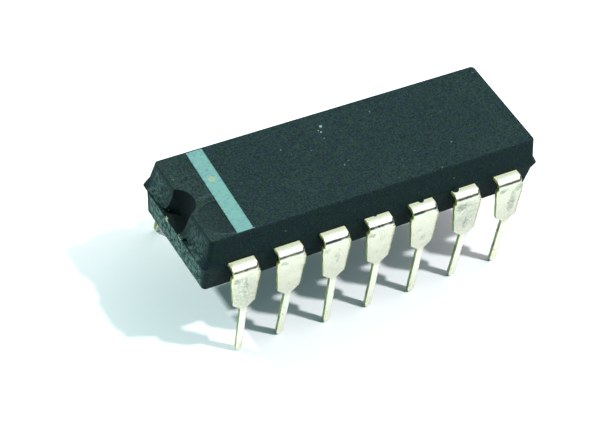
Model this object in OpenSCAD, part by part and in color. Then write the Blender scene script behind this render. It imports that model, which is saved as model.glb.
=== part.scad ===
// Dual in-line chip package with fourteen leads, standing on its pins.
// The origin lies on the floor under the middle of the package. X runs along the package,
// with the notched end at -X and lead 1 on the -Y side beside it. Z is up.

/* [Package] */
// Length of the package at its parting plane
package_length = 19.1; // [18.6:0.05:19.8]
// Width of the package at its parting plane
package_width = 6.3; // [6.1:0.05:6.6]
// Height of the parting plane above the tips of the pins
parting_level = 5.86; // [5.6:0.02:6.3]
// Height of the moulding above its parting plane
upper_height = 1.58; // [1.3:0.02:1.9]
// Height of the moulding below its parting plane
lower_height = 1.72; // [1.3:0.02:1.9]
// How far the draft brings the top edge in at the two ends
end_draft_top = 0.28; // [0.2:0.01:0.5]
// How far the draft brings the top edge in along the two sides
side_draft_top = 0.22; // [0.1:0.01:0.35]
// How far the draft brings the bottom edge in at the two ends
end_draft_bottom = 0.23; // [0.2:0.01:0.5]
// How far the draft brings the bottom edge in along the two sides
side_draft_bottom = 0.22; // [0.1:0.01:0.35]
// Radius of the four upright corners
corner_radius = 0.22; // [0.1:0.01:0.4]
// Width of the small bevel round the top and bottom faces
rim_bevel = 0.05; // [0.02:0.01:0.1]

/* [Notch and mould marks] */
// Radius of the end notch at the top face
notch_radius_top = 0.93; // [0.8:0.01:1.2]
// Radius of the end notch at its floor
notch_radius_floor = 0.65; // [0.4:0.01:0.75]
// Radius of the worn place at the far rim of the notch, at the parting plane
worn_radius_floor = 0.85; // [0.75:0.01:0.9]
// Radius of the worn place at the top face
worn_radius_top = 0.7; // [0.6:0.01:0.75]
// Distance from the notched end out to the middle of the worn place
worn_out = 0.2; // [0.15:0.01:0.3]
// Distance from the long axis to the middle of the worn place
worn_aside = 0.22; // [0.1:0.01:0.3]
// Radius of the round mould mark beside the notch
mark_radius = 1.08; // [0.8:0.02:1.1]
// Depth of the round mould mark
mark_depth = 0.05; // [0.03:0.01:0.1]
// Distance from the notched end to the middle of the mould mark
mark_from_end = 1.52; // [1.5:0.01:1.7]
// Distance from the long axis to the middle of the mould mark
mark_from_axis = 1.62; // [1.4:0.01:1.7]
// Radius of the two ejector marks in the underside
ejector_radius = 1; // [0.5:0.05:1.5]
// Depth of the ejector marks
ejector_depth = 0.06; // [0.03:0.01:0.12]
// Distance between the middles of the ejector marks
ejector_spacing = 12; // [9:0.5:13]

/* [Parting line] */
// How far the flash at the parting line stands out at the two ends
flash_reach = 0.09; // [0.02:0.01:0.15]
// Height over which the upper half flares out into the flash
flare_height_top = 0.45; // [0.3:0.05:0.7]
// How far the upper half has come in above its flare
flare_inset_top = 0.17; // [0.14:0.01:0.2]
// Height over which the lower half flares out into the flash
flare_height_bottom = 0.3; // [0.2:0.05:0.6]
// How far the lower half has come in below its flare
flare_inset_bottom = 0.13; // [0.08:0.01:0.16]
// Depth of the crack that has opened along the parting line of the notched end
crack_depth = 0.24; // [0.1:0.02:0.4]
// Thickness of the flash that creeps over the tabs
flash_thickness = 0.05; // [0.03:0.01:0.08]

/* [Printed stripe] */
// Width of the printed stripe
stripe_width = 0.88; // [0.6:0.02:1.1]
// Thickness of the ink, keyed into the skin of the moulding
stripe_thickness = 0.03; // [0.02:0.005:0.05]
// Distance from the notched end to the middle of the stripe
stripe_from_end = 2.3; // [2:0.02:3]
// How far the stripe's far end lies further from the notch than its near end
stripe_skew = 0.23; // [-0.3:0.01:0.3]
// Gap between the ends of the stripe and the long edges of the top face
stripe_margin = 0.06; // [0.02:0.01:0.3]

/* [Leads] */
// Distance from one lead to the next
pitch = 2.54; // [2.4:0.01:2.6]
// How far both rows lie from the middle of the package, along it
row_offset = 0.05; // [-0.1:0.01:0.1]
// Distance over the outer faces of the two rows, at the bends
row_width = 7.6; // [7.4:0.02:8]
// Thickness of the lead frame's sheet
sheet = 0.25; // [0.2:0.01:0.3]
// Outer radius of the bend
bend_radius = 0.38; // [0.32:0.01:0.45]
// Width of the tab that leaves the package
tab_width = 1.46; // [1.3:0.02:1.6]
// Width over the dam-bar stubs
stub_width = 1.64; // [1.6:0.02:1.8]
// Height of the dam-bar stubs
stub_height = 0.5; // [0.3:0.02:0.7]
// How far under the bend the stubs start
stub_drop = 0.03; // [0.01:0.01:0.1]
// Height of the slope into each stub, and out of it
stub_slope = 0.15; // [0.08:0.01:0.2]
// Width of the blade just under its stubs
blade_width_top = 1.56; // [1.45:0.02:1.6]
// Width of the blade at its shoulders
blade_width_bottom = 1.3; // [1.1:0.02:1.4]
// Height of the sloping shoulders
shoulder_height = 0.34; // [0.2:0.02:0.6]
// Width of the pin
pin_width = 0.45; // [0.38:0.01:0.52]
// Length of the pin under the shoulders
pin_length = 3.12; // [2.8:0.02:3.4]
// Length of the rounded point of the pin
tip_length = 0.32; // [0.1:0.02:0.4]
// Width of the flat at the very tip
tip_width = 0.16; // [0.1:0.02:0.36]
// How far each face of the pin comes in at the very tip
tip_inset = 0.05; // [0.02:0.01:0.09]

/* [Lead frame inside] */
// Depth of the wide anchor that holds each lead in the moulding
anchor_depth = 0.45; // [0.3:0.05:0.6]
// Width of the fingers that run to the die
finger_width = 0.4; // [0.3:0.02:0.46]
// Length of the die pad
pad_length = 4.4; // [4:0.1:4.8]
// Width of the die pad
pad_width = 2.1; // [1.9:0.05:2.3]
// Gap between the die pad and the middle fingers
finger_gap = 0.5; // [0.4:0.02:0.6]
// Distance between the middles of the two tie bars
tie_spacing = 1.3; // [1.1:0.05:1.4]
// Width of each tie bar
tie_width = 0.26; // [0.2:0.02:0.3]

/* [Die and wires] */
// Length of the die
die_length = 1.7; // [1.5:0.05:2]
// Width of the die
die_width = 1.5; // [1.4:0.05:1.7]
// Thickness of the die
die_thickness = 0.3; // [0.2:0.02:0.4]
// Thickness of the adhesive under the die
attach_thickness = 0.03; // [0.02:0.005:0.05]
// How far the adhesive shows round the die
attach_margin = 0.06; // [0.02:0.01:0.12]
// Radius of the bond wires
wire_radius = 0.025; // [0.02:0.001:0.03]
// How far the wires rise above a straight run
wire_rise = 0.42; // [0.3:0.02:0.5]
// Radius of the pressed ends of the wires
bond_radius = 0.075; // [0.06:0.005:0.09]
// Height of the pressed ends of the wires
bond_height = 0.07; // [0.065:0.005:0.09]
// Distance from the edge of the die to the middle of a bond
bond_inset = 0.14; // [0.12:0.01:0.2]

/* [Hidden] */

$fn = 48;
per_row = 7;
lead_count = 2 * per_row;
past = 1; // how far a cutting shape runs past the surface that it cuts

top_level = parting_level + upper_height;
bottom_level = parting_level - lower_height;
half_length = package_length / 2;
half_width = package_width / 2;
bend_level = parting_level - bend_radius;
row_reach = row_width / 2;
die_floor = parting_level + attach_thickness;
die_top = die_floor + die_thickness;

// For each lead: how far its leg stands out at the shoulders and at the tip, and how far it
// has moved along the package at the shoulders and at the tip
lead_set = [
    [0.08, 0.17, 0.13, 0.21], [0.08, 0.04, 0.07, 0.05], [0.08, 0.28, 0.1, 0.09], [0.08, 0.22, 0.1, 0.01],
    [0.08, 0.19, 0.12, 0.04], [0.08, 0.08, 0.15, 0.05], [0.08, 0.01, 0.15, 0.12],
    [0.08, 0.1, 0.05, 0], [0.08, 0.06, 0.08, 0.02], [0.08, 0.1, 0.06, 0.02], [0.08, 0.18, 0.1, 0.05],
    [0.08, 0.12, 0.05, -0.02], [0.08, 0.1, 0.08, 0.04], [0.5, 1.18, 0.1, 0.27]];

// For a lead 0, 1, 2 or 3 places from the middle of its row: the knee and the tip of its finger
finger_knee = [[0, 2.2], [1.75, 2.15], [3.9, 2.2], [6.3, pad_width / 2 + 0.3]];
finger_tip = [
    [0, pad_width / 2 + finger_gap],
    [1.1, pad_width / 2 + finger_gap + 0.05],
    [2.3, pad_width / 2 + finger_gap + 0.3],
    [pad_length / 2 + 0.7, pad_width / 2 + 0.15]];
stitch_inset = 0.15; // from the end of a finger to the middle of its bond

// The ragged upper lip of the crack on the far side of the notch, and on the near side:
// distance from the long axis, then height above the parting plane
crack_far = [
    [2.95, 0.02], [2.62, 0.08], [2.4, 0.05], [2.05, 0.12], [1.75, 0.07], [1.45, 0.15], [1.25, 0.14],
    [1.1, 0.22], [0.5, 0.24]];
crack_near = [
    [-0.98, 0.05], [-1.0, 0.17], [-1.12, 0.23], [-1.4, 0.2], [-1.52, 0.07], [-1.8, 0.05], [-2.4, 0.02]];

// Flash on the tabs: the lead, the place along the package from its middle, and the radius
flash_bits = [[3, 0.78, 0.09], [4, -0.1, 0.07], [5, 0.02, 0.14], [6, -0.5, 0.19], [10, 0.3, 0.12]];

// Places along and across the package

function row_side(i) = i <= per_row ? -1 : 1;
function column(i) = i <= per_row ? i - 4 : 11 - i;
function lead_x(i) = column(i) * pitch + row_offset;

// A point on the lead's own side, from one on the +X, +Y side
function mirrored(i, p) = [p.x * (column(i) < 0 ? -1 : 1), p.y * row_side(i)];

// Moulded package

// How far the rounded plan of the package reaches in a direction, when it is brought in all round
function plan_reach(turn, end_in, side_in) =
    (half_length - end_in - corner_radius) * abs(cos(turn))
    + (half_width - side_in - corner_radius) * abs(sin(turn)) + corner_radius;

// Half of the package's section in one direction, from the bottom to the top. The ends flare
// out into the flash at the parting line and the long sides are straight
function section_half(turn) =
    let (
        flash = plan_reach(turn, -flash_reach, 0),
        above = plan_reach(turn, flare_inset_top, side_draft_top * flare_height_top / upper_height),
        below = plan_reach(turn, flare_inset_bottom, side_draft_bottom * flare_height_bottom / lower_height),
        up = plan_reach(turn, end_draft_top, side_draft_top),
        down = plan_reach(turn, end_draft_bottom, side_draft_bottom))
    [
        [down - rim_bevel, bottom_level],
        [down, bottom_level + rim_bevel],
        [below, parting_level - flare_height_bottom],
        [flash, parting_level],
        [above, parting_level + flare_height_top],
        [up, top_level - rim_bevel],
        [up - rim_bevel, top_level]];

// One drafted slab; the package is what all the slabs share
module drafted_slab(turn) {
    half = section_half(turn);
    other = [for (i = [len(half) - 1 : -1 : 0]) [-half[i].x, half[i].y]];
    rotate([90, 0, turn])
        linear_extrude(height = 2 * package_length, center = true)
            polygon(concat(half, other));
}

module moulding() {
    intersection_for (turn = [0 : 22.5 : 157.5]) drafted_slab(turn);
}

module end_notch() {
    translate([-half_length, 0, parting_level])
        cylinder(h = upper_height, r1 = notch_radius_floor, r2 = notch_radius_top);
    translate([-half_length, 0, top_level])
        cylinder(h = past, r = notch_radius_top);
    translate([-half_length - worn_out, worn_aside, parting_level])
        cylinder(h = upper_height, r1 = worn_radius_floor, r2 = worn_radius_top);
}

// The round mark is moulded, and the skin stays whole under the stripe
module mould_mark() {
    difference() {
        translate([mark_from_end - half_length, -mark_from_axis, top_level - mark_depth])
            cylinder(h = mark_depth + past, r = mark_radius);
        stripe_block(top_level - mark_depth - past, mark_depth + 3 * past);
    }
}

module ejector_marks() {
    for (side = [-1, 1])
        translate([side * ejector_spacing / 2, 0, bottom_level - past])
            cylinder(h = ejector_depth + past, r = ejector_radius);
}

// The ragged gap that has opened between the two halves at the notched end
module end_crack(lip) {
    first = lip[0];
    last = lip[len(lip) - 1];
    translate([-half_length - past, 0, parting_level])
        rotate([90, 0, 90])
            linear_extrude(height = past + crack_depth)
                polygon(concat([[first.x, 0]], lip, [[last.x, 0]]));
}

module tab_flash() {
    for (bit = flash_bits)
        translate([lead_x(bit[0]) + bit[1], row_side(bit[0]) * half_width, parting_level])
            cylinder(h = flash_thickness, r = bit[2]);
}

module package_body() {
    color([0.14, 0.18, 0.18])
        difference() {
            union() {
                moulding();
                tab_flash();
            }
            end_notch();
            mould_mark();
            ejector_marks();
            end_crack(crack_far);
            end_crack(crack_near);
            stripe_block(top_level - stripe_thickness, stripe_thickness + past);
            for (i = [1 : lead_count]) {
                lead_frame_plate() embedded_outline(i, past);
                placed_leg(i);
                wire_shape(i);
            }
            lead_frame_plate() pad_outline(past);
            die_block(attach_margin, parting_level, attach_thickness);
            die_block(0, die_floor, die_thickness);
        }
}

// Printed stripe

// The stripe's outline between two heights
module stripe_block(from, height) {
    reach = half_width - side_draft_top - rim_bevel - stripe_margin;
    near = stripe_from_end - half_length - stripe_skew / 2;
    far = stripe_from_end - half_length + stripe_skew / 2;
    w = stripe_width / 2;
    translate([0, 0, from])
        linear_extrude(height = height)
            polygon([[near - w, -reach], [near + w, -reach], [far + w, reach], [far - w, reach]]);
}

module index_stripe() {
    color([0.6, 0.78, 0.74])
        stripe_block(top_level - stripe_thickness, stripe_thickness);
}

// Lead frame

// Raises an outline into the sheet that lies under the parting plane
module lead_frame_plate() {
    translate([0, 0, parting_level - sheet])
        linear_extrude(height = sheet) children();
}

// Outline of a strip of even width along a run of points
function unit(v) = v / norm(v);
function run_direction(run, i) =
    unit(run[min(i + 1, len(run) - 1)] - run[max(i - 1, 0)]);
function strip_side(run, width, side) = [
    for (i = [0 : len(run) - 1])
        let (d = run_direction(run, i))
        run[i] + side * width / 2 * [-d.y, d.x]];
function backwards(list) = [for (i = [len(list) - 1 : -1 : 0]) list[i]];
function strip(run, width) = concat(strip_side(run, width, 1), backwards(strip_side(run, width, -1)));

// The part of a lead that the moulding holds, and a stretch of tab outside it
module embedded_outline(i, outside) {
    place = abs(column(i));
    start = [abs(lead_x(i)), half_width - anchor_depth / 2];
    run = [start, finger_knee[place], finger_tip[place]];
    polygon([for (p = strip(run, finger_width)) mirrored(i, p)]);
    translate([lead_x(i) - tab_width / 2, row_side(i) > 0 ? half_width - anchor_depth : -half_width - outside])
        square([tab_width, anchor_depth + outside]);
}

// The tab, the bend and the leg seen from the end of the package
module side_outline(shoulder_out, tip_out) {
    flat_end = row_reach - bend_radius;
    tip_from = tip_out + (shoulder_out - tip_out) * tip_length / pin_length;
    translate([half_width - anchor_depth, parting_level - sheet])
        square([flat_end - half_width + anchor_depth, sheet]);
    translate([flat_end, bend_level])
        intersection() {
            difference() {
                circle(r = bend_radius);
                circle(r = bend_radius - sheet);
            }
            square(bend_radius);
        }
    polygon([
        [row_reach, bend_level],
        [row_reach + shoulder_out, pin_length],
        [row_reach + tip_from, tip_length],
        [row_reach + tip_out - tip_inset, 0],
        [row_reach + tip_out - sheet + tip_inset, 0],
        [row_reach + tip_from - sheet, tip_length],
        [row_reach + shoulder_out - sheet, pin_length],
        [row_reach - sheet, bend_level]]);
}

// Half the width of a lead and the height, from the tab down to the tip
function front_edge() =
    let (
        stub_top = bend_level - stub_drop,
        stub_foot = stub_top - stub_height,
        rounding = (pin_width - tip_width) / 2)
    concat([
        [tab_width / 2, parting_level + past],
        [tab_width / 2, stub_top],
        [stub_width / 2, stub_top - stub_slope],
        [stub_width / 2, stub_foot],
        [blade_width_top / 2, stub_foot - stub_slope],
        [blade_width_bottom / 2, pin_length + shoulder_height],
        [pin_width / 2, pin_length]],
        [for (turn = [0 : 22.5 : 90])
            [tip_width / 2 + rounding * cos(turn), tip_length * (1 - sin(turn))]]);

// How far the leg has moved along the package at a height
function leg_run(level, shoulder_run, tip_run) =
    lookup(level, [[0, tip_run], [pin_length, shoulder_run], [bend_level, 0]]);

module front_outline(shoulder_run, tip_run) {
    right = [for (p = front_edge()) [p.x + leg_run(p.y, shoulder_run, tip_run), p.y]];
    left = [for (p = front_edge()) [-p.x + leg_run(p.y, shoulder_run, tip_run), p.y]];
    polygon(concat(right, backwards(left)));
}

// The lead outside the moulding, standing out along +Y
module bent_leg(set) {
    intersection() {
        rotate([90, 0, 90])
            linear_extrude(height = 2 * stub_width, center = true)
                side_outline(set[0], set[1]);
        rotate([90, 0, 0])
            linear_extrude(height = 2 * row_width, center = true)
                front_outline(set[2], set[3]);
    }
}

module placed_leg(i) {
    translate([lead_x(i), 0, 0]) {
        if (row_side(i) > 0) bent_leg(lead_set[i - 1]);
        else mirror([0, 1, 0]) bent_leg(lead_set[i - 1]);
    }
}

module lead(i) {
    color([0.82, 0.82, 0.76])
        union() {
            lead_frame_plate() embedded_outline(i, 0);
            placed_leg(i);
        }
}

// The die pad with two tie bars to each end of the package, where they were cut off
module pad_outline(outside) {
    square([pad_length, pad_width], center = true);
    for (side = [-1, 1])
        translate([0, side * tie_spacing / 2])
            square([package_length + 2 * outside, tie_width], center = true);
}

module die_pad() {
    color([0.72, 0.5, 0.32])
        lead_frame_plate() pad_outline(0);
}

// Die and wires

module die_block(margin, from, height) {
    translate([-die_length / 2 - margin, -die_width / 2 - margin, from])
        cube([die_length + 2 * margin, die_width + 2 * margin, height]);
}

module die_attach() {
    color([0.75, 0.76, 0.78])
        die_block(attach_margin, parting_level, attach_thickness);
}

module die() {
    color([0.33, 0.34, 0.4])
        die_block(0, die_floor, die_thickness);
}

// Where the wire of a lead starts on the die, and where it ends on the finger
die_bond = [
    [0, die_width / 2 - bond_inset],
    [0.3, die_width / 2 - bond_inset],
    [0.6, die_width / 2 - bond_inset],
    [die_length / 2 - bond_inset, 0.35]];
function wire_start(i) = mirrored(i, die_bond[abs(column(i))]);
function wire_end(i) =
    let (tip = finger_tip[abs(column(i))], knee = finger_knee[abs(column(i))])
    mirrored(i, tip + stitch_inset * unit(knee - tip));

// The wire is one arc in an upright plane, pressed flat at both ends
module wire_shape(i) {
    start = wire_start(i);
    end = wire_end(i);
    foot = [0, die_top + bond_height / 2];
    head = [norm(end - start), parting_level + bond_height / 2];
    chord = norm(head - foot);
    along = unit(head - foot);
    radius = (chord * chord / 4 + wire_rise * wire_rise) / (2 * wire_rise);
    centre = (foot + head) / 2 - (radius - wire_rise) * [-along.y, along.x];
    from = atan2(head.y - centre.y, head.x - centre.x);
    to = atan2(foot.y - centre.y, foot.x - centre.x);
    translate([start.x, start.y, 0])
        rotate([0, 0, atan2(end.y - start.y, end.x - start.x)])
            translate([centre.x, 0, centre.y])
                rotate([90, 0, 0])
                    rotate([0, 0, from])
                        rotate_extrude(angle = to - from)
                            translate([radius, 0]) circle(r = wire_radius);
    translate([start.x, start.y, die_top])
        cylinder(h = bond_height, r = bond_radius);
    translate([end.x, end.y, parting_level])
        cylinder(h = bond_height, r = bond_radius);
}

module bond_wire(i) {
    color([0.9, 0.72, 0.3])
        union() wire_shape(i);
}

package_body();
index_stripe();
for (i = [1 : lead_count]) lead(i);
die_pad();
die_attach();
die();
for (i = [1 : lead_count]) bond_wire(i);
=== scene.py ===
import math

import bmesh
import bpy
from mathutils import Matrix, Vector, noise


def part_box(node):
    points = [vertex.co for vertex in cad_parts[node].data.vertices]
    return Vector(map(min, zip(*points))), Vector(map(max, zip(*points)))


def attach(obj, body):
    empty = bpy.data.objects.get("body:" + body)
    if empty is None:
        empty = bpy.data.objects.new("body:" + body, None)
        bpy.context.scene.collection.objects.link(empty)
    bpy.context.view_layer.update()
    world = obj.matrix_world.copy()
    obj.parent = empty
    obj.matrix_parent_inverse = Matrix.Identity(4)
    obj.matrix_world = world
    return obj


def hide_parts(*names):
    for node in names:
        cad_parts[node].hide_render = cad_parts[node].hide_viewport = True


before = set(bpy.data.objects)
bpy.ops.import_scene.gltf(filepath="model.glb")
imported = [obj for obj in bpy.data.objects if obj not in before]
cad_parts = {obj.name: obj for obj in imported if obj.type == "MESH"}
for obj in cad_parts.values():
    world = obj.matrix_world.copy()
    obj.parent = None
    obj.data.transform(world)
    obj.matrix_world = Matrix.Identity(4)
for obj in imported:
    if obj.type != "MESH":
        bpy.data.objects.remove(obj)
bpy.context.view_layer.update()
print("frame loaded")

mm = 0.001

# The package's levels, in millimetres, worked out from the frame
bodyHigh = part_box("package_body")[1] / mm
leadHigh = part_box("lead_4")[1] / mm
package = dict(
    partingLevel=leadHigh.z,
    topLevel=bodyHigh.z,
)


# A socket that can be used in sums.
class Wire:
    def __init__(self, sheet, socket):
        self.sheet = sheet
        self.socket = socket

    def sum(self, operation, *terms):
        return self.sheet.add("ShaderNodeMath", {"operation": operation}, dict(enumerate(terms)))

    def __add__(self, other):
        return self.sum("ADD", self, other)

    def __radd__(self, other):
        return self.sum("ADD", other, self)

    def __sub__(self, other):
        return self.sum("SUBTRACT", self, other)

    def __rsub__(self, other):
        return self.sum("SUBTRACT", other, self)

    def __mul__(self, other):
        return self.sum("MULTIPLY", self, other)

    def __rmul__(self, other):
        return self.sum("MULTIPLY", other, self)

    def __truediv__(self, other):
        return self.sum("DIVIDE", self, other)

    def __pow__(self, other):
        return self.sum("POWER", self, other)

    def larger(self, other):
        return self.sum("MAXIMUM", self, other)

    def smaller(self, other):
        return self.sum("MINIMUM", self, other)

    def size(self):
        return self.sum("ABSOLUTE", self)

    # 0 below low, 1 above high, soft between; the other way round if low is above high
    def step(self, low, high):
        settings = {"interpolation_type": "SMOOTHSTEP"}
        if low > high:
            return 1 - self.step(high, low)
        sockets = {"Value": self, "From Min": low, "From Max": high}
        return self.sheet.add("ShaderNodeMapRange", settings, sockets)


# One material's nodes.
class Sheet:
    def __init__(self, tree):
        self.tree = tree
        tree.nodes.clear()

    # One node: its settings come first, then the values or links of its sockets.
    def add(self, kind, settings, sockets, out=0):
        node = self.tree.nodes.new(kind)
        for name, value in settings.items():
            setattr(node, name, value)
        for name, value in sockets.items():
            if isinstance(value, Wire):
                self.tree.links.new(value.socket, node.inputs[name])
            else:
                node.inputs[name].default_value = value
        return Wire(self, node.outputs[out]) if len(node.outputs) else None

    # Where the surface is, in millimetres in the object's own frame.
    def place(self):
        point = self.add("ShaderNodeTexCoord", {}, {}, "Object")
        return self.add("ShaderNodeVectorMath", {"operation": "SCALE"}, {0: point, "Scale": 1 / mm})

    # 1 for the camera and for what shows in metal or glass, 0 for the light that a surface scatters
    def seenDirectly(self):
        camera = self.add("ShaderNodeLightPath", {}, {}, "Is Camera Ray")
        glossy = self.add("ShaderNodeLightPath", {}, {}, "Is Glossy Ray")
        through = self.add("ShaderNodeLightPath", {}, {}, "Is Transmission Ray")
        scattered = self.add("ShaderNodeLightPath", {}, {}, "Diffuse Depth")
        return camera.larger(glossy).larger(through) * (1 - scattered).larger(0)

    def parts(self, vector):
        return [self.add("ShaderNodeSeparateXYZ", {}, {0: vector}, axis) for axis in "XYZ"]

    def cloud(self, where, perMm, detail=3.0, roughness=0.5, warp=0.0):
        sockets = {"Vector": where, "Scale": perMm, "Detail": detail, "Roughness": roughness,
                   "Distortion": warp}
        return self.add("ShaderNodeTexNoise", {"noise_dimensions": "3D"}, sockets, 0)

    # Small round specks: share is how many of the cells hold one.
    def specks(self, where, perMm, radius, share):
        sockets = {"Vector": where, "Scale": perMm, "Randomness": 1.0}
        reach = self.add("ShaderNodeTexVoronoi", {"feature": "F1"}, sockets, "Distance")
        pick = self.add("ShaderNodeTexVoronoi", {"feature": "F1"}, sockets, "Color")
        chance = self.parts(pick)[0]
        return reach.step(radius, radius * 0.5) * chance.step(1 - share - 0.02, 1 - share + 0.02)

    def tint(self, factor, first, second):
        first = first if isinstance(first, Wire) else (*first, 1)
        second = second if isinstance(second, Wire) else (*second, 1)
        settings = {"data_type": "RGBA", "blend_type": "MIX"}
        return self.add("ShaderNodeMix", settings, {0: factor, 6: first, 7: second}, 2)

    def bump(self, height, depthMm, strength=1.0):
        sockets = {"Height": height, "Distance": depthMm * mm, "Strength": strength}
        return self.add("ShaderNodeBump", {}, sockets)

    def finish(self, sockets):
        shader = self.add("ShaderNodeBsdfPrincipled", {}, sockets)
        self.add("ShaderNodeOutputMaterial", {}, {"Surface": shader})


def newMaterial(name):
    material = bpy.data.materials.new(name)
    material.use_nodes = True
    return material, Sheet(material.node_tree)


# Camera

cameraSetup = dict(
    place=(-54.587, -67.703, 89.639),  # mm
    azimuth=-37.76,
    elevation=45.16,
    roll=10.98,
    lens=146.34,  # mm, on a sensor 36 mm wide
)


def buildCamera():
    azimuth = math.radians(cameraSetup["azimuth"])
    elevation = math.radians(cameraSetup["elevation"])
    roll = math.radians(cameraSetup["roll"])
    flat = math.cos(elevation)
    back = Vector((math.sin(azimuth) * flat, -math.cos(azimuth) * flat, math.sin(elevation)))
    level = Vector((math.cos(azimuth), math.sin(azimuth), 0))
    upright = back.cross(level)
    right = math.cos(roll) * level + math.sin(roll) * upright
    up = back.cross(right)
    data = bpy.data.cameras.new("camera")
    data.sensor_width = 36
    data.sensor_fit = "HORIZONTAL"
    data.lens = cameraSetup["lens"]
    data.clip_start = 0.005
    data.clip_end = 20
    camera = bpy.data.objects.new("camera", data)
    turn = Matrix((right, up, back)).transposed().to_4x4()
    camera.matrix_world = Matrix.Translation(Vector(cameraSetup["place"]) * mm) @ turn
    bpy.context.scene.collection.objects.link(camera)
    bpy.context.scene.camera = camera
    bpy.context.scene.view_settings.view_transform = "Standard"


# Floor and light

studio = dict(
    evenSky=(0.115, 0.25, 0.265),  # light from all sides that surfaces scatter
    sideSky=(1.88, 1.56, 1.63),  # the same on the side where it is strongest
    sideTowards=(0.74, 0.12, 0.66),
    sideSpread=5.0,
    room=(1.8, 1.8, 1.8),  # the bright upper room that metal reflects
    walls=(0.066, 0.066, 0.064),  # the dark walls below it
    roomFrom=0.42,  # sine of the height at which it starts, and where it is full
    roomTo=0.52,
    backdrop=(1.0, 1.0, 1.0),
    floorSeen=(1.0, 1.0, 1.0),
    floorBounce=(0.20, 0.50, 0.54),
    floorReach=2.0,
    lampDistance=0.3,
)

lamps = dict(
    key=dict(towards=(0.342, -0.303, 0.887), colour=(0.96, 0.98, 1.0), power=0.65, size=0.019),
    window=dict(towards=(-0.51, 0.46, 0.73), colour=(0.82, 0.96, 0.95), power=0.66, size=0.018),
)


def buildFloor():
    mesh = bpy.data.meshes.new("floor")
    reach = studio["floorReach"]
    corners = [(-reach, -reach, 0), (reach, -reach, 0), (reach, reach, 0), (-reach, reach, 0)]
    mesh.from_pydata(corners, [], [(0, 1, 2, 3)])
    floor = bpy.data.objects.new("floor", mesh)
    bpy.context.scene.collection.objects.link(floor)
    material, sheet = newMaterial("floor")
    colour = sheet.tint(sheet.seenDirectly(), studio["floorBounce"], studio["floorSeen"])
    sheet.finish({"Base Color": colour, "Roughness": 1.0, "Specular IOR Level": 0.0})
    mesh.materials.append(material)


# White behind the object, a bright upper room in metal, a weak sky for the rest
def buildSky():
    world = bpy.data.worlds.new("studio")
    world.use_nodes = True
    sheet = Sheet(world.node_tree)
    direction = sheet.add("ShaderNodeTexCoord", {}, {}, "Generated")
    height = sheet.parts(direction)[2]
    room = sheet.tint(height.step(studio["roomFrom"], studio["roomTo"]),
                      studio["walls"], studio["room"])
    facing = sheet.add("ShaderNodeVectorMath", {"operation": "DOT_PRODUCT"},
                       {0: direction, 1: studio["sideTowards"]}, "Value").larger(0)
    even = sheet.tint(facing ** studio["sideSpread"], studio["evenSky"], studio["sideSky"])
    camera = sheet.add("ShaderNodeLightPath", {}, {}, "Is Camera Ray")
    colour = sheet.tint(sheet.seenDirectly(), even, room)
    seen = sheet.tint(camera, colour, studio["backdrop"])
    sky = sheet.add("ShaderNodeBackground", {}, {"Color": seen})
    sheet.add("ShaderNodeOutputWorld", {}, {"Surface": sky})
    bpy.context.scene.world = world


def buildLamp(name, look):
    lamp = bpy.data.lights.new(name, "AREA")
    lamp.shape = "DISK"
    lamp.size = look["size"]
    lamp.energy = look["power"]
    lamp.color = look["colour"]
    holder = bpy.data.objects.new(name, lamp)
    towards = Vector(look["towards"]).normalized()
    holder.location = towards * studio["lampDistance"]
    holder.rotation_mode = "QUATERNION"
    holder.rotation_quaternion = towards.to_track_quat("Z", "Y")
    bpy.context.scene.collection.objects.link(holder)


# Moulded package

moulding = dict(
    deep=(0.0035, 0.009, 0.0095),
    green=(0.0145, 0.039, 0.029),
    blue=(0.0135, 0.029, 0.038),
    worn=(0.030, 0.054, 0.045),
    # paler rings of the mould mark, also the painted highlight on the mark's recess wall
    ring=(0.042, 0.072, 0.064),
    speck=(0.20, 0.30, 0.27),
    # pale dust, also spread as painted light on the lower end faces
    dustAndBounceLight=(0.175, 0.255, 0.215),
    # painted shade for the inside of the notch
    notch=(0.003, 0.006, 0.007),
    roughness=0.62,
    gloss=0.08,
    flecks=[(-0.44, 1.98, 0.10), (-0.62, 1.62, 0.06), (-0.70, 1.75, 0.04)],  # place and radius, mm
    notchPlace=(-9.55, 0.05),
    notchRadius=0.97,
    markPlace=(-8.03, -1.62),
    markRadius=1.08,
)


# Distance from a point of the plan, in millimetres
def distance(x, y, place):
    run = x - place[0]
    rise = y - place[1]
    return (run * run + rise * rise) ** 0.5


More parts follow.
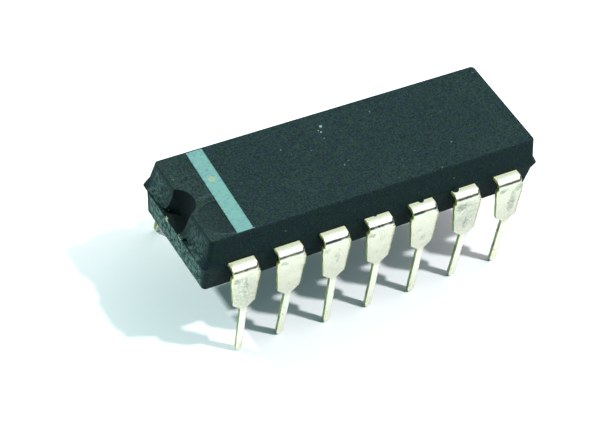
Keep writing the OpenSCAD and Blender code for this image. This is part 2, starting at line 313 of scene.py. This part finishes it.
def mouldingMaterial():
    material, sheet = newMaterial("moulded_epoxy")
    where = sheet.place()
    x, y, z = sheet.parts(where)
    facing = sheet.add("ShaderNodeTexCoord", {}, {}, "Normal")
    lookX, lookY, lookZ = sheet.parts(facing)
    top = package["topLevel"]
    parting = package["partingLevel"]
    broad = sheet.cloud(where, 0.45, 2.0)
    grain = sheet.cloud(where, 8.5, 4.0, 0.7)
    fine = sheet.cloud(where, 17.0, 2.0, 0.6)
    hue = sheet.cloud(where, 3.1, 4.0, 0.7)
    skin = sheet.tint(hue.step(0.40, 0.60), moulding["green"], moulding["blue"])
    shade = (grain * 0.6 + fine * 0.4).step(0.36, 0.61)
    # painted shade: the long sides, facing across the package, are made darker than the top and
    # ends
    shade = shade * (1 - 0.28 * lookY.size().step(0.5, 0.9))
    colour = sheet.tint(shade, moulding["deep"], skin)

    # the handled end of the top face, and the mould mark with its paler rings; the mark's recess
    # wall is painted lighter as a painted highlight against its shade
    upper = lookZ.step(0.7, 0.95)
    handled = (0 - x).step(7.0, 9.3) * 0.6 + broad.step(0.45, 0.75) * 0.2
    colour = sheet.tint(upper * handled * grain.step(0.33, 0.66), colour, moulding["worn"])
    fromMark = distance(x, y, moulding["markPlace"])
    radius = moulding["markRadius"]
    colour = sheet.tint(fromMark.step(radius, radius - 0.1) * 0.35, colour, moulding["deep"])
    ring = (fromMark - radius).size().step(0.16, 0.03) * y.step(-2.1, -2.4) * 0.5
    arc = (fromMark - 1.52).size().step(0.12, 0.03) * y.step(-0.9, -0.4) * 0.55
    # painted highlight: the steep wall of the mark's recess is coloured lighter to cancel its shade
    paintedWallLight = (fromMark - radius).size().step(0.06, 0.03) * lookZ.step(0.8, 0.5)
    paintedWallLight = paintedWallLight * z.step(top - 0.1, top - 0.06)
    rings = ring.larger(arc) * upper * grain.step(0.30, 0.60)
    colour = sheet.tint(rings.larger(paintedWallLight), colour, moulding["ring"])

    # dust on the ends, partly real and partly painted light: full on the lower end faces for the
    # floor's bounce, less beside the notch for the shade there, and less near the corners and under
    # the top edge
    ends = lookX.size().step(0.55, 0.85) * (1 - 0.5 * lookX.larger(0))
    ends = ends * y.size().step(2.85, 2.4) * z.step(top - 0.05, top - 0.35)
    # painted shade: less of the pale colour beside the notch; painted light: all of it on the lower
    # end faces
    besideNotch = (y - moulding["notchPlace"][1]).size().step(1.7, 1.0) * x.step(0, -1)
    lower = z.step(parting + 0.25, parting - 0.25)
    share = lower + (1 - lower) * 0.40 * (1 - besideNotch * 0.7)
    dustAndBounceLight = sheet.cloud(where, 5.2, 5.0, 0.74)
    colour = sheet.tint(ends * share * dustAndBounceLight.step(0.42, 0.60), colour, moulding["dustAndBounceLight"])

    faint = sheet.specks(where, 5.5, 0.17, 0.22)
    bright = sheet.specks(where, 2.9, 0.15, 0.07)
    specks = (faint * 0.22).larger(bright * 0.55)
    for across, up, radius in moulding["flecks"]:
        fleck = distance(x, y, (across, up)) + (fine - 0.5) * 0.1
        specks = specks.larger(fleck.step(radius, radius * 0.5) * upper)
    colour = sheet.tint(specks, colour, moulding["speck"])

    # painted shade on the walls and floor of the notch
    reach = moulding["notchRadius"]
    inside = distance(x, y, moulding["notchPlace"]).step(reach + 0.06, reach - 0.02)
    inside = inside * z.step(top - 0.01, top - 0.08)
    inside = inside * x.step(-9.3, -9.2).larger(1 - (0 - lookX).step(0.75, 0.9))
    colour = sheet.tint(inside * 0.9, colour, moulding["notch"])
    height = grain * 0.6 + fine * 0.4
    sheet.finish({
        "Base Color": colour,
        "Roughness": moulding["roughness"] + (grain - 0.5) * 0.2,
        "Specular IOR Level": moulding["gloss"],
        "Normal": sheet.bump(height, 0.013, 0.9),
    })
    return material


# Printed stripe

ink = dict(
    colour=(0.140, 0.31, 0.265),
    blue=(0.125, 0.25, 0.285),
    thin=(0.05, 0.11, 0.11),
    orange=(0.42, 0.38, 0.15),
    orangePlace=(-7.21, 0.81),  # mm
    middle=-7.25,  # of the stripe, along the package
    skew=0.042,  # run along the package for each millimetre across it
    halfWidth=0.44,
)


def inkMaterial():
    material, sheet = newMaterial("stripe_ink")
    where = sheet.place()
    x, y, z = sheet.parts(where)
    mottle = sheet.cloud(where, 4.5, 4.0, 0.65)
    colour = sheet.tint(mottle.step(0.46, 0.66), ink["colour"], ink["blue"])
    pits = sheet.cloud(where, 8.0, 3.0, 0.6)
    colour = sheet.tint(pits.step(0.54, 0.72) * 0.55, colour, ink["thin"])
    edge = (x - ink["middle"] - y * ink["skew"]).size()
    edge = edge.step(ink["halfWidth"] - 0.07, ink["halfWidth"])
    colour = sheet.tint(edge * pits.step(0.40, 0.62) * 0.8, colour, ink["thin"])
    spot = distance(x, y, ink["orangePlace"])
    spot = (spot + (pits - 0.5) * 0.25).step(0.24, 0.08) * (0.3 + 0.7 * spot.step(0.02, 0.14))
    colour = sheet.tint(spot * 0.6, colour, ink["orange"])
    sheet.finish({"Base Color": colour, "Roughness": 0.7, "Specular IOR Level": 0.25,
                  "Normal": sheet.bump(pits, 0.006, 0.7)})
    return material


# Tinned leads

plating = dict(
    bright=(0.675, 0.68, 0.57),
    dull=(0.56, 0.59, 0.47),
    stain=(0.20, 0.25, 0.21),
    cut=(0.95, 0.88, 0.22),  # the sheared sides, where the tin is thin
    cutDark=(0.42, 0.36, 0.11),
    line=(0.07, 0.12, 0.17),  # painted reflection: the dark line in the lower bend
    # painted light: the pins are coloured lighter than the blades, standing in for the brighter
    # floor they reflect
    pin=(0.92, 0.94, 0.80),
    rim=(0.72, 0.70, 0.32),
    tab=(0.92, 0.98, 0.90),  # the rougher tin beside the moulding
    gold=(0.52, 0.40, 0.12),
    roughness=0.20,
    # where the near row is stained: along the row, height, half width, half height, depth
    stains=[
        (-7.99, 5.13, 0.30, 0.16, 0.8), (-7.50, 4.50, 0.15, 0.80, 0.7),
        (-7.57, 4.10, 1.0, 1.1, 0.4), (-5.50, 5.25, 0.22, 0.14, 0.5),
        (-3.14, 5.22, 0.22, 0.16, 0.5), (-2.39, 4.50, 0.14, 0.45, 0.4),
        (-0.50, 5.22, 0.25, 0.16, 0.6), (2.67, 3.85, 0.14, 0.22, 0.4),
        (4.78, 5.15, 0.42, 0.34, 0.85), (5.20, 3.95, 0.17, 0.50, 0.85),
        (5.35, 5.10, 0.50, 0.10, 0.5), (5.15, 4.50, 0.9, 1.0, 0.4),
        (7.24, 5.30, 0.26, 0.20, 0.7), (8.24, 5.28, 0.26, 0.24, 0.9),
        (7.92, 4.35, 0.22, 0.80, 0.7),
    ],
)


def platingMaterial():
    material, sheet = newMaterial("tin_plating")
    where = sheet.place()
    x, y, z = sheet.parts(where)
    facing = sheet.add("ShaderNodeTexCoord", {}, {}, "Normal")
    sides = sheet.parts(facing)[0].size().step(0.45, 0.8)
    across = sheet.add("ShaderNodeMath", {"operation": "PINGPONG"},
                       {0: x - leadForm["rowOffset"], 1: leadForm["pitch"] / 2})
    level = package["partingLevel"]
    onTab = z.step(level - 0.055, level - 0.028)
    mottle = sheet.cloud(where, 2.2, 4.0, 0.6, 0.5)
    fine = sheet.cloud(where, 7.0, 4.0, 0.65)
    colour = sheet.tint(mottle.step(0.42, 0.72) * 0.6, plating["bright"], plating["dull"])
    colour = sheet.tint(fine.step(0.50, 0.70) * 0.35, colour, plating["rim"])
    # painted light on the pins, below the shoulders
    colour = sheet.tint(z.step(3.3, 2.7) * 0.95, colour, plating["pin"])

    wobbleX = (sheet.cloud(where, 2.6, 3.0, 0.6) - 0.5) * 0.5
    wobbleZ = (sheet.cloud(where, 1.7, 3.0, 0.6) - 0.5) * 0.6
    marks = sheet.cloud(where, 1.1, 4.0, 0.65, 0.8).step(0.62, 0.80) * 0.35
    near = (0 - y).step(3.4, 3.6)
    for place, height, halfWidth, halfHeight, depth in plating["stains"]:
        run = (x + wobbleX - place) * (1 / halfWidth)
        rise = (z + wobbleZ - height) * (1 / halfHeight)
        marks = marks.larger((run * run + rise * rise).step(1.6, 0.1) * near * depth)
    marks = marks * fine.step(0.30, 0.60)
    colour = sheet.tint(marks, colour, plating["stain"])

    edge = across.step(0.50, 0.76) * fine.step(0.35, 0.65) * z.step(3.1, 3.5)
    colour = sheet.tint(edge * 0.5, colour, plating["rim"])
    tab = sheet.tint(fine.step(0.52, 0.68) * 0.5, plating["tab"], plating["rim"])
    colour = sheet.tint(onTab, colour, tab)
    root = y.size().step(3.44, 3.26) * onTab
    bared = root.larger(across.step(0.58, 0.72) * onTab)
    colour = sheet.tint(bared * 0.6, colour, plating["rim"])

    # painted reflection: a dark broken band in the lower bend, stronger on the middle leads,
    # deepens the reflected dark walls
    paintedBendReflection = z.step(level - 0.27, level - 0.22) * z.step(level - 0.10, level - 0.15)
    streak = sheet.add("ShaderNodeVectorMath", {"operation": "MULTIPLY"},
                       {0: where, 1: (1.6, 0.5, 0.5)})
    broken = sheet.cloud(streak, 1.0, 3.0, 0.6).step(0.38, 0.50)
    strength = 0.45 + 0.5 * (x - 0.5).size().step(5.5, 3.5)
    colour = sheet.tint(paintedBendReflection * broken * strength, colour, plating["line"])

    patches = sheet.cloud(where, 1.3, 3.0, 0.6).step(0.40, 0.62)
    cut = sheet.tint(patches, plating["cutDark"], plating["cut"])
    colour = sheet.tint(sides * 0.9, colour, cut)
    tip = z.step(1.5, 0.1) * fine.step(0.42, 0.62)
    colour = sheet.tint(tip * 0.45, colour, plating["gold"])
    dots = sheet.specks(where, 2.2, 0.2, 0.2)
    colour = sheet.tint(dots * 0.7, colour, plating["gold"])
    roughness = plating["roughness"] + mottle * 0.12 + marks * 0.2 + onTab * 0.25 + sides * 0.3
    sheet.finish({
        "Base Color": colour,
        "Metallic": 1 - onTab.larger(sides) * 0.9,
        "Roughness": roughness,
        "Normal": sheet.bump(sheet.cloud(where, 6.0, 4.0, 0.6), 0.01, 0.6),
    })
    return material


# Leads, bent from sheet and tinned

leadForm = dict(
    pitch=2.54,  # mm
    rowOffset=0.05,
    rowReach=3.8,
    sheet=0.25,
    bendRadius=0.38,
    hiddenFrom=3.0,  # distance from the long axis at which the modelled lead takes over
    hiddenTo=3.1,
    pinLength=3.12,
    edgeRadius=0.055,
    tipHeight=0.34,
    dent=0.014,  # depth of the unevenness
    crown=0.05,  # how much thinner the sheet is at its edges, as a share
)

# Half the width of a lead at each height, from the tip's straight part up to the tab
leadWidths = [
    (0.0, 0.225), (3.10, 0.225), (3.45, 0.65), (4.70, 0.78), (4.90, 0.82),
    (5.385, 0.83), (5.42, 0.73), (6.00, 0.73),
]

# For each lead: how far it stands out at the shoulders and at the tip, and how far it has
# moved along the package at the shoulders and at the tip
leadSet = [
    (0.08, 0.17, 0.13, 0.21), (0.08, 0.04, 0.07, 0.05), (0.08, 0.28, 0.10, 0.09),
    (0.08, 0.22, 0.10, 0.01), (0.08, 0.19, 0.12, 0.04), (0.08, 0.08, 0.15, 0.05),
    (0.08, 0.01, 0.15, 0.12), (0.08, 0.10, 0.05, 0.0), (0.08, 0.06, 0.08, 0.02),
    (0.08, 0.10, 0.06, 0.02), (0.08, 0.18, 0.10, 0.05), (0.08, 0.12, 0.05, -0.02),
    (0.08, 0.10, 0.08, 0.04), (0.5, 1.165, 0.10, 0.27),
]


def leadHalfWidth(height):
    for (low, first), (high, second) in zip(leadWidths, leadWidths[1:]):
        if low <= height <= high:
            return first + (second - first) * (height - low) / (high - low)


# The lead's middle line in the plane across the package: distance out, height, and the
# direction that its outer face looks in
def leadLine(shoulderOut, tipOut):
    form = leadForm
    half = form["sheet"] / 2
    flatEnd = form["rowReach"] - form["bendRadius"]
    bendLevel = package["partingLevel"] - form["bendRadius"]
    line = []
    for step in range(9):
        out = form["hiddenFrom"] + (flatEnd - form["hiddenFrom"]) * step / 9
        line.append((out, package["partingLevel"] - half, 0.0, 1.0))
    radius = form["bendRadius"] - half
    for step in range(11):
        turn = math.pi / 2 * step / 10
        line.append((flatEnd + radius * math.sin(turn), bendLevel + radius * math.cos(turn),
                     math.sin(turn), math.cos(turn)))
    legs = [(bendLevel, 0.0), (form["pinLength"], shoulderOut), (0.0, tipOut)]
    stops = sorted((level for level, width in leadWidths if 0 < level < bendLevel), reverse=True)
    height = bendLevel
    while height > 0.012:
        below = height - (0.065 if height > form["tipHeight"] else max(0.01, 0.16 * height))
        passed = [stop for stop in stops if below < stop < height - 0.001]
        height = max([below, 0.0] + passed)
        high, low = (legs[0], legs[1]) if height >= legs[1][0] else (legs[1], legs[2])
        share = (high[0] - height) / (high[0] - low[0])
        out = high[1] + (low[1] - high[1]) * share
        lean = (low[1] - high[1]) / (high[0] - low[0])
        size = math.hypot(1, lean)
        line.append((form["rowReach"] - half + out, height, 1 / size, lean / size))
    return line


# One ring round the lead: distances along the width and through the sheet
def leadRing(halfWidth, halfSheet):
    radius = min(leadForm["edgeRadius"], halfSheet * 0.9, halfWidth * 0.9)
    flat = halfWidth - radius
    ring = []
    for side in (1, -1):
        for step in range(11):
            along = side * flat * (1 - step / 5)
            crown = 1 - leadForm["crown"] * (along / halfWidth) ** 2
            ring.append((along, side * halfSheet * crown))
        for step in range(1, 5):
            turn = math.pi / 8 * step
            ring.append((-side * (flat + radius * math.sin(turn)),
                         side * (halfSheet - radius + radius * math.cos(turn))))
    return ring


def buildLead(number, material):
    form = leadForm
    side = -1 if number <= 7 else 1
    column = number - 4 if number <= 7 else 11 - number
    middle = column * form["pitch"] + form["rowOffset"]
    shoulderOut, tipOut, shoulderRun, tipRun = leadSet[number - 1]
    bendLevel = package["partingLevel"] - form["bendRadius"]
    points = []
    faces = []
    line = leadLine(shoulderOut, tipOut)
    count = len(leadRing(1, 1))
    for out, height, lookOut, lookUp in line:
        halfWidth = leadHalfWidth(height)
        halfSheet = form["sheet"] / 2
        if height < form["tipHeight"]:
            rise = 1 - height / form["tipHeight"]
            halfWidth *= max(1 - rise ** 2, 0.0) ** 0.5 * 0.8 + 0.2
            halfSheet *= max(1 - rise ** 4, 0.0) ** 0.5 * 0.6 + 0.4
        if height < form["pinLength"]:
            run = tipRun + (shoulderRun - tipRun) * height / form["pinLength"]
        else:
            run = shoulderRun * max(bendLevel - height, 0) / (bendLevel - form["pinLength"])
        for along, through in leadRing(halfWidth, halfSheet):
            where = Vector((along + 9.1 * number, out * 3.0, height))
            wave = noise.noise(where * 1.7) * 0.6 + noise.noise(where * 4.2) * 0.4
            dent = form["dent"] * min(1, max(0, 0.5 + 0.8 * wave)) * min(1, height / 0.1)
            shrink = 1 - dent / halfSheet
            narrow = 1 - dent / halfWidth
            points.append(((middle + run + along * narrow) * mm,
                           side * (out + through * shrink * lookOut) * mm,
                           max(height + through * shrink * lookUp, 0) * mm))
    for station in range(len(line) - 1):
        for corner in range(count):
            after = (corner + 1) % count
            low = station * count
            quad = (low + corner, low + after, low + count + after, low + count + corner)
            faces.append(quad)
    faces.append(tuple(range(count)))
    faces.append(tuple(range(len(points) - 1, len(points) - 1 - count, -1)))

    lead = bmesh.new()
    corners = [lead.verts.new(point) for point in points]
    for face in faces:
        lead.faces.new([corners[place] for place in face]).smooth = True

    # the anchor and the finger inside the moulding
    hidden = bmesh.new()
    hidden.from_mesh(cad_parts[f"lead_{number}"].data)
    bmesh.ops.scale(hidden, vec=(1 / mm, 1 / mm, 1 / mm), verts=hidden.verts)
    cut = bmesh.ops.bisect_plane(
        hidden, geom=hidden.verts[:] + hidden.edges[:] + hidden.faces[:],
        plane_co=(0, side * form["hiddenTo"], 0), plane_no=(0, side, 0), clear_outer=True)
    edges = [item for item in cut["geom_cut"] if isinstance(item, bmesh.types.BMEdge)]
    bmesh.ops.contextual_create(hidden, geom=edges)
    bmesh.ops.scale(hidden, vec=(mm, mm, mm), verts=hidden.verts)
    scrap = bpy.data.meshes.new("scrap")
    hidden.to_mesh(scrap)
    lead.from_mesh(scrap)
    hidden.free()
    bpy.data.meshes.remove(scrap)

    bmesh.ops.recalc_face_normals(lead, faces=lead.faces)
    mesh = bpy.data.meshes.new(f"tinned_lead_{number}")
    lead.to_mesh(mesh)
    lead.free()
    mesh.materials.append(material)
    piece = bpy.data.objects.new(mesh.name, mesh)
    bpy.context.scene.collection.objects.link(piece)
    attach(piece, "root")
    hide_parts(f"lead_{number}")


# Metals and the die inside

insideLooks = dict(
    frameMetal=(0.75, 0.47, 0.30),
    adhesive=(0.55, 0.56, 0.58),
    silicon=(0.10, 0.11, 0.15),
    gold=(0.90, 0.63, 0.20),
    # painted shade for the tie bars bared in the notch
    paintedBarShade=(0.004, 0.006, 0.006),
    # the cut ends: bare metal, with a painted glint
    cutEndAndGlint=(0.60, 0.62, 0.30),
)


def plainMetal(name, colour, metallic, roughness, perMm):
    material, sheet = newMaterial(name)
    where = sheet.place()
    grain = sheet.cloud(where, perMm, 4.0, 0.6)
    darker = tuple(0.6 * part for part in colour)
    sheet.finish({
        "Base Color": sheet.tint(grain.step(0.35, 0.7), darker, colour),
        "Metallic": metallic,
        "Roughness": roughness + grain * 0.15,
        "Normal": sheet.bump(grain, 0.004, 0.6),
    })
    return material


# The tie bars get painted shade, near black and not metal, where the notch bares them, and are
# bright only at their cut ends, bare metal with a painted glint
def frameMetal():
    material, sheet = newMaterial("frame_metal")
    where = sheet.place()
    x, y, z = sheet.parts(where)
    facing = sheet.add("ShaderNodeTexCoord", {}, {}, "Normal")
    grain = sheet.cloud(where, 5.0, 4.0, 0.6)
    copper = insideLooks["frameMetal"]
    colour = sheet.tint(grain.step(0.35, 0.7), tuple(0.6 * part for part in copper), copper)
    bare = x.size().step(8.3, 8.6)
    # painted shade: the bar bared in the notch is coloured near black
    colour = sheet.tint(bare, colour, insideLooks["paintedBarShade"])
    end = bare * sheet.parts(facing)[0].size().step(0.6, 0.85)
    # bare metal at the cut ends, coloured bright as a painted glint
    colour = sheet.tint(end * (0.4 + grain.step(0.35, 0.6) * 0.6), colour, insideLooks["cutEndAndGlint"])
    sheet.finish({
        "Base Color": colour,
        "Metallic": 1 - bare,
        "Roughness": 0.35 + grain * 0.15 + bare * 0.4,
        "Specular IOR Level": 0.15,
        "Normal": sheet.bump(grain, 0.004, 0.6),
    })
    return material


def dress(name, material):
    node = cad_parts[name]
    node.data.materials.clear()
    node.data.materials.append(material)


def dressNodes():
    dress("package_body", mouldingMaterial())
    dress("index_stripe", inkMaterial())
    dress("die_pad", frameMetal())
    dress("die_attach", plainMetal("adhesive", insideLooks["adhesive"], 0.3, 0.6, 12.0))
    dress("die", plainMetal("silicon", insideLooks["silicon"], 0.4, 0.15, 6.0))
    gold = plainMetal("gold_wire", insideLooks["gold"], 1.0, 0.2, 20.0)
    for number in range(1, 15):
        dress(f"bond_wire_{number}", gold)


buildCamera()
print("camera set")
buildFloor()
buildSky()
for name, look in lamps.items():
    buildLamp(name, look)
print("floor and light set")
tin = platingMaterial()
for number in range(1, 15):
    buildLead(number, tin)
print("leads built")
dressNodes()
print("materials on")
